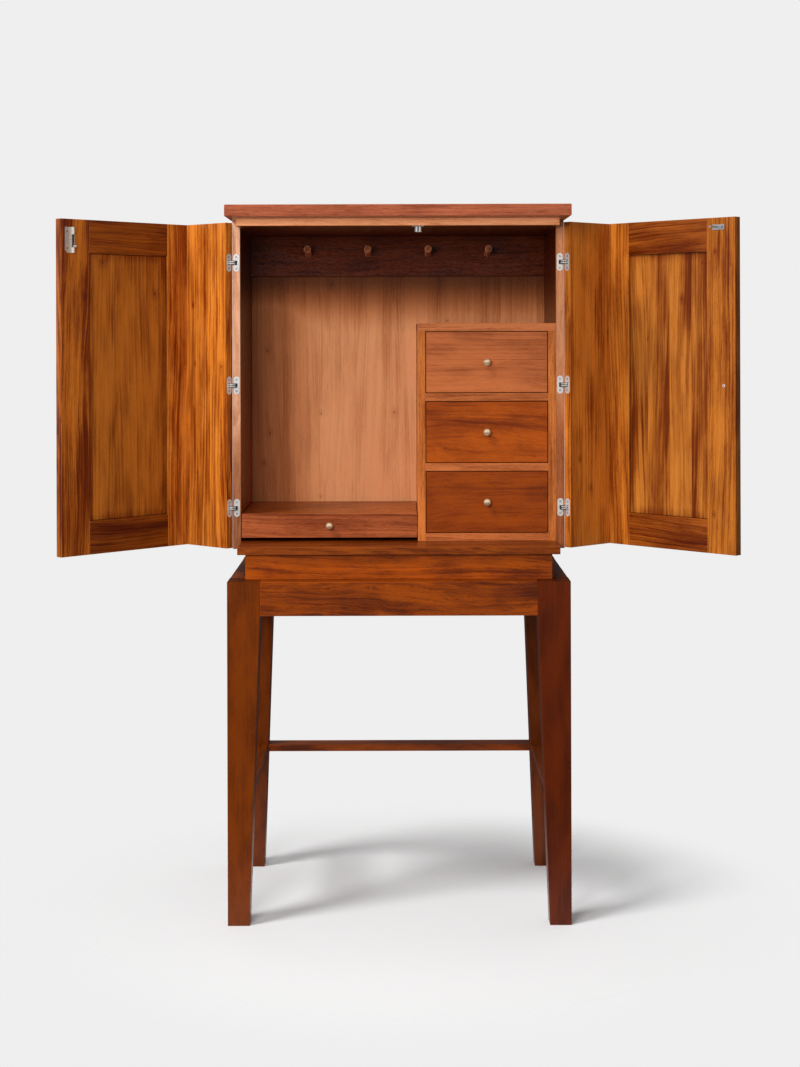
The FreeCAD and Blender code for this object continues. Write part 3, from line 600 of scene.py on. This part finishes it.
# on the case top, the shelves between the drawers, the upper drawer front and the shelf apron, the pinker slab finish
# and the raised green and blue are a painted sheen; the lower drawer fronts are painted darker, step by step, where
# that sheen fades
caseSet = {
    "slabWood": {
        "drawer_case_sides": (36.3, "zx", {"tone": (1.2, 1.42, 1.0)}),
        "drawer_case_top": (37.7, "xz", {"tone": (1.15, 1.40, 1.55), "boards": 0.13}),
        "drawer_case_shelves": (39.2, "xz", {"tone": (1.05, 1.2, 1.1)}),
        "drawer_1_front": (42.5, "xy", {"tone": (1.04, 1.16, 1.16), "streak": 0.24, **frontLook}),
        "pull_shelf_apron": (62.8, "xy", {"tone": 0.8})},
    "caseWood": {
        "drawer_2_front": (44.4, "xy", {"tone": (0.72, 0.65, 0.50), "streak": 0.60, **frontLook}),
        "drawer_3_front": (46.3, "xy", {"tone": (0.51, 0.43, 0.28), "streak": 0.34, **frontLook}),
        "pull_shelf_board": (61.4, "xz", {"tone": 0.7, "boards": 0.11}),
        "pull_shelf_side_rails": (64.1, "yx", {"tone": 0.9})},
}
dressBoards(caseSet)
boxSet = {"kinds": (("boxWood", 1.0, "xz"), ("boxWood", 1.0, "yx")), "axis": "x", "wall": 0.012}
for number, seed in ((1, 53.0), (2, 55.7), (3, 58.4)):
    dressCrossed(f"drawer_{number}_box", f"drawer{number}BoxWood", seed, **boxSet)
print("drawers and shelf dressed")


# doors: each stands open by 133.2 degrees, so its boards are turned back to their closed places first; a part has
# its tone and the depth of its streaks and of its rings
doorSet = {
    "finish": "doorWood", "openTurn": math.radians(133.2),
    # the panel has a fine line of painted shadow at its border with the frame
    "panelLook": {"boards": 0.074, "border": 0.008, "coarse": 0.6},
    "ways": {"side_board": "zx", "corner_stile": "zy", "meeting_stile": "zy", "rails": "xy", "panel": "zy"},
    "seeds": {"left": 70.3, "right": 90.9}, "seedStep": 2.3,
    "left": {"side_board": (1.27, 0.44, 0.42), "corner_stile": (1.26, 0.50, 0.26),
             "meeting_stile": ((0.80, 0.70, 0.50), 0.80, 0.34), "rails": ((0.44, 0.30, 0.16), 0.60, 0.30),
             "panel": ((0.70, 0.63, 0.46), 0.40, 0.16)},
    "right": {"side_board": (1.20, 0.18, 0.10), "corner_stile": (1.02, 0.42, 0.22),
              "meeting_stile": (0.83, 0.28, 0.12), "rails": ((0.56, 0.43, 0.36), 0.60, 0.30),
              "panel": ((0.85, 0.90, 1.04), 0.68, 0.14)},
}


def dressDoors(values):
    for side, sign in (("left", 1), ("right", -1)):
        for index, (part, (tone, streak, ring)) in enumerate(values[side].items()):
            look = {"turn": sign * values["openTurn"], "tone": tone, "streak": streak, "ring": ring, "knots": True}
            if part == "panel":
                look.update(values["panelLook"])
            seed = values["seeds"][side] + index * values["seedStep"]
            dressWood(f"{side}_door_{part}", values["finish"], seed, values["ways"][part], **look)


dressDoors(doorSet)
print("doors dressed")


# metal finishes and the nodes that have them: name, seed, colour, tarnish, polish, metallic share, and the height of
# a plate below which the tarnish colour is painted on as shade, while what stands proud of it keeps the bright colour
metals = {
    "brass": ("satinBrass", 3.3, (0.84, 0.64, 0.42), (0.60, 0.43, 0.26), 0.24, 0.75, None,
              "drawer_1_knob", "drawer_2_knob", "drawer_3_knob", "pull_shelf_knob", "right_door_knob"),
    "nickel": ("plateNickel", 5.1, (0.90, 0.88, 0.85), (0.74, 0.71, 0.66), 0.20, 0.55, None,
               "left_hinge_inner_links", "left_hinge_outer_links", "right_hinge_inner_links",
               "right_hinge_outer_links", "roller_catch_rollers"),
    "zinc": ("slideZinc", 8.4, (0.56, 0.57, 0.58), (0.36, 0.37, 0.38), 0.32, 0.8, None, "pull_shelf_slide_channels",
             "pull_shelf_slide_runners", "right_door_catch_strike", "roller_catch_case"),
    "steel": ("screwSteel", 9.7, (0.13, 0.12, 0.11), (0.08, 0.075, 0.07), 0.25, 0.8, None),
    "pewter": ("boltPewter", 11.2, (0.84, 0.77, 0.69), (0.58, 0.48, 0.40), 0.24, 0.65, 0.0016, "left_door_bolt_case"),
    "rodSteel": ("rodSteel", 13.9, (0.88, 0.80, 0.70), (0.075, 0.050, 0.036), 0.24, 0.65, 0.006, "left_door_bolt_rod"),
    "shadowSteel": ("cupSteel", 12.6, (0.10, 0.09, 0.08), (0.06, 0.05, 0.05), 0.35, 0.6, None,
                    "side_hinge_cups", "left_door_hinge_cups", "right_door_hinge_cups"),
}
metalSet = {"bump": 0.000006, "proud": (0.0001, 0.0012)}


def metalMaterial(name, seed, color, tarnish, polish, metal, plate, *dressed):
    material, tree, shader = startMaterial(name)
    spot = addNode("TexCoord", tree=tree)["Object"]
    color, tarnish = color + (1,), tarnish + (1,)
    # painted shade: below the plate's height the tarnish colour stands in for shade, on the bolt's plate and on the
    # part of its rod inside the barrel
    if plate:
        rows, offset, half = boardFrame(meshCorners(dressed[0]), "zy", doorSet["openTurn"])
        spot = mapped(spot, rows, offset)
        levels = [plate - half[1] + step for step in metalSet["proud"]]
        color = blend(ramp(parts(spot)[1], *levels), tarnish, color)
    finish = useGroup(brushedMetal, {"Vector": spot, "Color": color, "Tarnish": tarnish, "Polish": polish,
                                     "Seed": seed})
    shader.inputs["Metallic"].default_value = metal
    finishInto(shader, finish, metalSet["bump"])
    for nodeName in dressed:
        dress(nodeName, material)
    return material


metalOf = {kind: metalMaterial(*row) for kind, row in metals.items()}
print("metal dressed:", len(metalOf), "finishes")


# quads between neighbouring rows and columns of a grid of points, counted row by row; the columns close up
def gridFaces(rows, columns, wrapRows=False):
    row, column = np.meshgrid(np.arange(rows if wrapRows else rows - 1), np.arange(columns), indexing="ij")
    nextRow, nextColumn = (row + 1) % rows, (column + 1) % columns
    corners = ((row, column), (row, nextColumn), (nextRow, nextColumn), (nextRow, column))
    return np.stack([down * columns + along for down, along in corners], -1).reshape(-1, 4)


def makePiece(name, surfaces, body, material, replaced=(), crease=40, weld=0.000001):
    # surfaces is a list of (grid of points, wrapRows); they become one mesh, welded and facing outwards
    points, faces, start = [], [], 0
    for grid, wrapRows in surfaces:
        rows, columns = grid.shape[:2]
        points.append(grid.reshape(-1, 3))
        faces.append(gridFaces(rows, columns, wrapRows) + start)
        start += rows * columns
    mesh = bpy.data.meshes.new(name)
    mesh.from_pydata(np.concatenate(points).tolist(), [], np.concatenate(faces).tolist())
    shell = bmesh.new()
    shell.from_mesh(mesh)
    bmesh.ops.remove_doubles(shell, verts=shell.verts, dist=weld)
    bmesh.ops.recalc_face_normals(shell, faces=shell.faces)
    shell.to_mesh(mesh)
    shell.free()
    mesh.polygons.foreach_set("use_smooth", np.ones(len(mesh.polygons), bool))
    mesh.set_sharp_from_angle(angle=math.radians(crease))
    mesh.materials.append(material)
    piece = addObject(name, mesh)
    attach(piece, body)
    if replaced:
        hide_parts(*replaced)


def axisFrame(axis):
    # three directions square to each other, the last one along the axis
    along = Vector(axis).normalized()
    side = along.cross(axes["z"] if abs(along.z) < 0.9 else axes["x"]).normalized()
    return np.array((side, along.cross(side), along))


def lathe(profile, base, axis, sides=56):
    # radius and height of each profile point, carried round the axis that starts at base
    profile = np.asarray(profile, float)
    angle = np.linspace(0, 2 * math.pi, sides, endpoint=False)
    across = profile[:, :1] * np.cos(angle)
    beside = profile[:, :1] * np.sin(angle)
    along = np.broadcast_to(profile[:, 1:], across.shape)
    local = np.stack((across, beside, along), -1)
    return local @ axisFrame(axis) + np.asarray(base)


def arcPoints(centre, radii, start, end, count):
    # points on an oval quarter or any other arc, from one angle in degrees to another
    angle = np.radians(np.linspace(start, end, count))
    return np.stack((centre[0] + radii[0] * np.cos(angle), centre[1] + radii[1] * np.sin(angle)), -1)


# knobs: a foot ring, a slim waisted neck and a mushroom head, all turned
knobSet = {
    "radius": 0.0100, "length": 0.0210, "head": 0.0120, "girth": 0.45, "neck": 0.0036, "waist": 0.10, "flare": 0.0005,
    "foot": 0.0056, "footHigh": 0.0018, "footIn": 0.96, "footEase": 0.0003, "footWall": 0.7, "bead": 0.0006,
    "doorScale": 1.25, "crease": 50, "steps": (5, 12, 16, 22),
}


def knobProfile(values, scale):
    radius, length, neck, bead = (values[key] for key in ("radius", "length", "neck", "bead"))
    foot, footHigh = values["foot"], values["footHigh"]
    rimSteps, neckSteps, backSteps, frontSteps = values["steps"]
    headStart = length - values["head"]
    girth = headStart + values["head"] * values["girth"]
    ring = [(0, 0), (foot * values["footIn"], 0), (foot, values["footEase"]), (foot, footHigh * values["footWall"])]
    rim = arcPoints((foot - bead, footHigh - bead), (bead, bead), 0, 90, rimSteps)
    # neck: a hollow from the foot to the head, a little slimmer at its middle
    rise = np.linspace(0, 1, neckSteps)
    neckRadius = neck * (1 - values["waist"] * np.sin(rise * math.pi)) + values["flare"] * (1 - rise) ** 3
    neckLine = np.stack((neckRadius, footHigh + rise * (headStart - footHigh)), -1)
    back = arcPoints((neck, girth), (radius - neck, girth - headStart), -90, 0, backSteps)
    front = arcPoints((0, girth), (radius, length - girth), 0, 90, frontSteps)
    front[-1, 0] = 0
    return np.concatenate((ring, rim, neckLine, back[1:], front[1:])) * scale


def makeKnob(name, cadNode, body, values, scale=1.0, turn=0.0):
    # the knob stands on the rear end of its node, which looks to the front before it is turned
    low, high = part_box(cadNode)
    axis = Matrix.Rotation(turn, 3, "Z") @ Vector((0, -1, 0))
    middle = (low + high) / 2
    reach = meshCorners(cadNode) @ np.array(axis)
    base = middle + axis * (float(reach.min()) - middle.dot(axis))
    makePiece(name, [(lathe(knobProfile(values, scale), base, axis), False)], body, metalOf["brass"],
              (cadNode,), values["crease"])


for number in (1, 2, 3):
    makeKnob(f"turnedKnobDrawer{number}", f"drawer_{number}_knob", f"drawer_{number}", knobSet)
makeKnob("turnedKnobShelf", "pull_shelf_knob", "pull_shelf", knobSet)
makeKnob("turnedKnobDoor", "right_door_knob", "right_door", knobSet, knobSet["doorScale"], doorSet["openTurn"])
print("knobs turned")


# pegs: round dowels with a domed end, tilted up out of the rail
# the pegs' tone is raised far above their wood, as painted light where they stand in shade
pegSet = {
    "radius": 0.0100, "length": 0.092, "dome": 0.0035, "tilt": 8.0, "spacing": 0.172, "count": 4, "sides": 40,
    "ease": 0.0006, "shoulder": 0.004, "domeDrop": 0.0008, "domeEnd": 70, "crown": 0.35, "crownDrop": 0.0002,
    "tone": (1.35, 2.1, 3.8), "seed": 104.2, "crease": 50, "sideSteps": 8, "domeSteps": 7,
}


def makePegs(values):
    radius, length, ease, shoulder = (values[key] for key in ("radius", "length", "ease", "shoulder"))
    low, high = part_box("mug_pegs")
    tilt = math.radians(values["tilt"])
    way = Vector((0, -math.cos(tilt), math.sin(tilt)))
    # the seat's lowest corner is the lowest, rearmost place of the node
    rear, under = high.y - radius * math.sin(tilt), low.z + radius * math.cos(tilt)
    domeStart = length - values["dome"]
    foot = [(0, 0), (radius - ease, 0), (radius, ease)]
    rise = np.linspace(shoulder, domeStart, values["sideSteps"])
    side = np.stack((np.full_like(rise, radius), rise), -1)
    dome = arcPoints((radius - shoulder, domeStart), (shoulder, values["dome"] - values["domeDrop"]), 0,
                     values["domeEnd"], values["domeSteps"])[1:]
    crown = [(radius * values["crown"], length - values["crownDrop"]), (0, length)]
    profile = np.concatenate((foot, side, dome, crown))
    places = (np.arange(values["count"]) - (values["count"] - 1) / 2) * values["spacing"]
    surfaces = [(lathe(profile, (across, rear, under), way, values["sides"]), False) for across in places]
    corners = np.concatenate([grid.reshape(-1, 3) for grid, wrap in surfaces])
    wood = woodMaterial("pegWood", corners, "slabWood", values["seed"], "yz", tone=values["tone"])
    makePiece("turnedPegs", surfaces, "cabinet", wood, ("mug_pegs",), values["crease"])


makePegs(pegSet)
print("pegs turned")


# hinges: thin links bent round the pivot line, five to a stack, in two sets that each turn on a pin of their own;
# all sizes are for the closed left door, and angle 0 points from the pivot line into the cabinet
hingeSet = {
    "pivot": (-0.445, -0.0944), "heights": (1.723, 1.394, 1.065), "radius": 0.0110, "halfWidth": 0.0022,
    "pinReach": 50.0, "reach": 48.5, "thick": 0.0020, "pitch": 0.0022, "layers": 5, "ease": 0.0002,
    "pinRadius": 0.0009, "pinDome": 0.00008, "pinFlat": 0.7, "pinSides": 20, "slotHalf": 0.0012, "travel": 78.75,
    # the inner links take the dark screw steel as painted shade, the outer ones nickel
    "kinds": {"inner": (0.275, "steel"), "outer": (0.725, "nickel")}, "plateCrease": 15, "plateSteps": 25,
    "plateHalf": 0.0080, "plateStraight": 0.0160, "pocketHalf": (0.0025, 0.0057), "proud": 0.00015, "sunk": 0.0004,
    "screw": (0.0029, 0.00028), "screwPlace": 0.0155, "screwTurns": (0.5, 1.3, 0.4),
}


def onCircle(degrees):
    # cosine and sine of each angle
    angle = np.radians(degrees)
    return np.stack((np.cos(angle), np.sin(angle)), -1)


def bentOutline(values, low, high, half, turn, steps=18, endSteps=9):
    # outer arc, round end, inner arc, round end of a bar with this half width, from one angle to another
    low, high, middle = low + turn, high + turn, values["radius"]
    along = np.linspace(low, high, steps)
    round180 = np.linspace(0, 180, endSteps)[1:-1]
    runs = ((middle + half) * onCircle(along), middle * onCircle(high) + half * onCircle(high + round180),
            (middle - half) * onCircle(along[::-1]), middle * onCircle(low) + half * onCircle(low + 180 + round180))
    return np.concatenate(runs) + values["pivot"]


def atLevels(rows):
    # a grid from rows of (outline, level)
    return np.stack([np.concatenate((outline, np.full((len(outline), 1), level)), -1) for outline, level in rows])


def linkSurface(values, low, high, turn, slot):
    # rows run from the slot, or the middle line, under the link, round its rim and back over it
    half, ease, reach = values["halfWidth"], values["ease"], values["reach"]
    rim = bentOutline(values, -reach, reach, half, turn)
    brink = bentOutline(values, -reach, reach, half - ease, turn)
    core = bentOutline(values, *(slot or (-reach, reach)), values["slotHalf"] if slot else 0.0, turn)
    return atLevels(((core, low), (brink, low), (rim, low + ease), (rim, high - ease), (brink, high),
                     (core, high))), bool(slot)


def linkSet(values, kind, turn):
    # links of one kind at every hinge, each second one of the stack, and the pin that holds them
    surfaces = []
    layers, pitch, thick = (values[key] for key in ("layers", "pitch", "thick"))
    pinAngle = -values["pinReach"] if kind == "inner" else values["pinReach"]
    slot = sorted((-pinAngle, -pinAngle + math.copysign(values["travel"], pinAngle)))
    indexes = range(0 if kind == "inner" else 1, layers, 2)
    stackLow = -((layers - 1) * pitch + thick) / 2
    for height in values["heights"]:
        for index in indexes:
            low = height + stackLow + index * pitch
            through = slot if 0 < index < layers - 1 else None
            surfaces.append(linkSurface(values, low, low + thick, turn, through))
        # pin with faintly domed ends
        low = height + stackLow + indexes[0] * pitch
        length = (len(indexes) - 1) * 2 * pitch + thick
        radius, dome = values["pinRadius"], values["pinDome"]
        flat = radius * values["pinFlat"]
        profile = [(0, -dome), (flat, -dome), (radius, 0), (radius, length), (flat, length + dome), (0, length + dome)]
        foot = values["radius"] * onCircle(pinAngle + turn) + values["pivot"]
        surfaces.append((lathe(profile, (*foot, low), (0, 0, 1), values["pinSides"]), False))
    return surfaces


def mirrored(surfaces):
    return [(grid * (-1, 1, 1), wrap) for grid, wrap in surfaces]


def onDoor(surfaces):
    # carries surfaces of the closed left door round the pivot line to where the open door stands
    turn = np.array(Matrix.Rotation(-doorSet["openTurn"], 3, "Z"))
    foot = np.array((*hingeSet["pivot"], 0.0))
    return [((grid - foot) @ turn.T + foot, wrap) for grid, wrap in surfaces]


bothSides = (("left", list), ("right", mirrored))


def makeLinks(values):
    for kind, (share, metal) in values["kinds"].items():
        surfaces = linkSet(values, kind, -math.degrees(doorSet["openTurn"]) * share)
        for side, change in bothSides:
            makePiece(f"{side}{kind.capitalize()}Links", change(surfaces), f"{side}_{kind}_links",
                      metalOf[metal], (f"{side}_hinge_{kind}_links",))


makeLinks(hingeSet)
print("hinge links bent")


# face plates: a stadium outline with a pocket opening, and two screws in each
def plateSurface(values, centre, outward):
    # rim points lie on rays from the middle, which also give the points on the pocket's edge
    top = values["plateHalf"] * onCircle(np.linspace(0, 180, values["plateSteps"])) + (0, values["plateStraight"])
    rim = np.concatenate((top, -top))
    pocket = rim * np.min(np.array(values["pocketHalf"]) / np.maximum(np.abs(rim), 1e-9), -1, keepdims=True)
    brink = rim * (1 - values["ease"] / np.linalg.norm(rim, axis=-1, keepdims=True))
    low, high = -values["sunk"], values["proud"]
    flat = atLevels(((pocket, low), (rim, low), (rim, high - values["ease"] / 2), (brink, high), (pocket, high)))
    return np.stack((centre[0] + flat[..., 0], centre[1] + outward * flat[..., 2], centre[2] + flat[..., 1]), -1), True


# screw heads: shares of the radius for the cross, shares of the rise and of the sunk rim for its depth
headSet = {"sides": 32, "rings": 12, "arm": 0.20, "armSlope": 0.08, "end": 0.68, "endSlope": 0.1, "fall": 0.55,
           "sunk": 0.0004, "cut": 0.7}


def screwSurface(place, way, radius, rise, turn, values=headSet):
    # low dome with a cross cut into it: the height falls away where either arm of the cross is near
    sunk, count = values["sunk"], values["sides"]
    angle = np.linspace(0, 2 * math.pi, count, endpoint=False)
    reach = np.linspace(0, 1, values["rings"])[:, None]
    across, beside = reach * np.cos(angle), reach * np.sin(angle)
    arm = np.minimum(np.abs(across), np.abs(beside))
    cut = np.clip((values["arm"] - arm) / values["armSlope"], 0, 1)
    cut = cut * np.clip((values["end"] - reach) / values["endSlope"], 0, 1)
    height = rise * (1 - values["fall"] * reach ** 2) - (rise + sunk * values["cut"]) * cut
    top = np.stack((across * radius, beside * radius, height), -1)
    skirt = np.stack((np.cos(angle) * radius, np.sin(angle) * radius, np.full(count, -sunk)), -1)[None]
    base = np.tile((0.0, 0.0, -sunk), (1, count, 1))
    local = np.concatenate((top, skirt, base)) @ np.array(Matrix.Rotation(turn, 3, "Z")).T
    return local @ axisFrame(way) + np.asarray(place), False


def hingeFaces(values, outward, face):
    plates, screws = [], []
    across = values["pivot"][0] + values["radius"]
    first, perHinge, perScrew = values["screwTurns"]
    for order, height in enumerate(values["heights"]):
        plates.append(plateSurface(values, (across, face, height), outward))
        for step in (-1, 1):
            place = (across, face, height + step * values["screwPlace"])
            turn = first + order * perHinge + step * perScrew
            screws.append(screwSurface(place, (0, outward, 0), *values["screw"], turn))
    return plates, screws


def makeHingeFaces(values):
    # the pivot line lies midway between the edges of the side and of the closed door
    gap = 2 * (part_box("left_side_board")[0].y - values["pivot"][1])
    front = values["pivot"][1] + gap / 2
    plates, screws = hingeFaces(values, -1, front)
    sets = [("side", plates + mirrored(plates), screws + mirrored(screws), "cabinet")]
    plates, screws = map(onDoor, hingeFaces(values, 1, front - gap))
    sets += [(side + "Door", change(plates), change(screws), side + "_door") for side, change in bothSides]
    for name, plates, screws, body in sets:
        makePiece(name + "HingeFaces", plates, body, metalOf["nickel"], crease=values["plateCrease"])
        makePiece(name + "HingeScrews", screws, body, metalOf["steel"])


makeHingeFaces(hingeSet)
print("hinge faces and screws set")


# screws of the bolt, the catch, its strike and the knobs; places on the doors are for the closed left door, and a
# spin times a screw's place gives the turn of its cross
screwSet = {
    "leafInner": -0.255, "plate": 0.0016, "small": (0.0026, 0.0006), "large": (0.0042, 0.0013),
    "bolt": ((-0.0200, 1.7545), (-0.0200, 1.7976)), "boltSpin": 40,
    "strike": ((-0.0400, 1.8050), (-0.0660, 1.8050)), "strikeSpin": 90,
    "catch": ((0.0415, -0.2240), (0.0645, -0.2240)), "catchFace": 1.8114, "catchSpin": 70,
    "doorKnob": (-0.0375, 1.3940), "doorKnobTurn": 0.4, "knobSpin": 30,
    "knobBoards": {"drawer_1": "drawer_1_front", "drawer_2": "drawer_2_front", "drawer_3": "drawer_3_front",
                   "pull_shelf": "pull_shelf_apron"},
}


def makeScrews(values):
    face, inwards, small, large = values["leafInner"] + values["plate"], (0, 1, 0), values["small"], values["large"]
    bolt = [screwSurface((x, face, z), inwards, *small, z * values["boltSpin"]) for x, z in values["bolt"]]
    strike = [screwSurface((x, face, z), inwards, *small, x * values["strikeSpin"]) for x, z in values["strike"]]
    catch = [screwSurface((x, y, values["catchFace"]), (0, 0, -1), *small, x * values["catchSpin"])
             for x, y in values["catch"]]
    x, z = values["doorKnob"]
    knob = [screwSurface((x, values["leafInner"], z), inwards, *large, values["doorKnobTurn"])]
    makePiece("boltScrews", onDoor(bolt), "left_door", metalOf["steel"])
    makePiece("strikeScrews", mirrored(onDoor(strike)), "right_door", metalOf["steel"])
    makePiece("doorKnobScrew", mirrored(onDoor(knob)), "right_door", metalOf["nickel"])
    makePiece("catchScrews", catch, "cabinet", metalOf["steel"])
    for body, board in values["knobBoards"].items():
        low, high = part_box(board)
        place = ((low.x + high.x) / 2, high.y, (low.z + high.z) / 2)
        screw = screwSurface(place, inwards, *large, high.z * values["knobSpin"])
        makePiece(body.replace("_", "") + "KnobScrew", [screw], body, metalOf["steel"])


makeScrews(screwSet)
print("screws driven")


# floor: a wide pale disc that fades into the backdrop
floorSet = {"radius": 4.0, "rings": 9, "sides": 64, "color": (0.88, 0.88, 0.88, 1), "middle": (0.03, -0.08, 0.0),
            "fade": (1.1, 0.42), "cover": 0.97}


def makeFloor(values):
    ring = np.linspace(0, values["radius"], values["rings"])
    grid = lathe(np.stack((ring, ring * 0), -1), (0, 0, 0), (0, 0, 1), values["sides"])
    mesh = bpy.data.meshes.new("paleFloor")
    mesh.from_pydata(grid.reshape(-1, 3).tolist(), [], gridFaces(values["rings"], values["sides"]).tolist())
    floor = addObject("paleFloor", mesh)
    material, tree, shader = startMaterial("paleFloor")
    place = addNode("TexCoord", tree=tree)["Object"]
    away = calcVector("LENGTH", calcVector("SUBTRACT", place, values["middle"]))
    looks = {"Base Color": values["color"], "Roughness": 1.0, "Specular IOR Level": 0.0,
             "Alpha": ramp(away, *values["fade"], 0.0, values["cover"])}
    for name, value in looks.items():
        feed(shader.inputs[name], value)
    mesh.materials.append(material)


# backdrop: one level lights the cabinet, another is what the camera sees; metal and lacquer see a pale room, darker
# towards the right and the back and just below eye level
worldSet = {"light": 0.19, "seen": 0.862, "mirror": (0.05, 0.95), "mirrorWay": (-0.5, -0.8, 0.28),
            "sideways": (-0.85, 0.5), "upwards": (-0.12, 0.05), "downwards": (-0.35, -0.7, 0.0, 0.55)}


def makeWorld(values):
    world = bpy.data.worlds.new("studio")
    world.use_nodes = True
    tree = world.node_tree
    path = addNode("LightPath", tree=tree)
    way = addNode("TexCoord", tree=tree)["Generated"]
    rise = parts(way)[2]
    side = ramp(calcVector("DOT_PRODUCT", way, values["mirrorWay"]), *values["sideways"])
    level = calc("MAXIMUM", ramp(rise, *values["upwards"]), ramp(rise, *values["downwards"]))
    low, high = values["mirror"]
    mirror = calc("MULTIPLY_ADD", calc("MULTIPLY", side, level), high - low, low)
    seen = calc("MAXIMUM", path["Is Camera Ray"], path["Is Transmission Ray"])
    plain = calc("MULTIPLY_ADD", seen, values["seen"] - values["light"], values["light"])
    shader = tree.nodes["Background"]
    shader.inputs["Color"].default_value = (1, 1, 1, 1)
    feed(shader.inputs["Strength"], blend(path["Is Glossy Ray"], plain, mirror))
    bpy.context.scene.world = world


makeFloor(floorSet)
makeWorld(worldSet)
print("stage set")
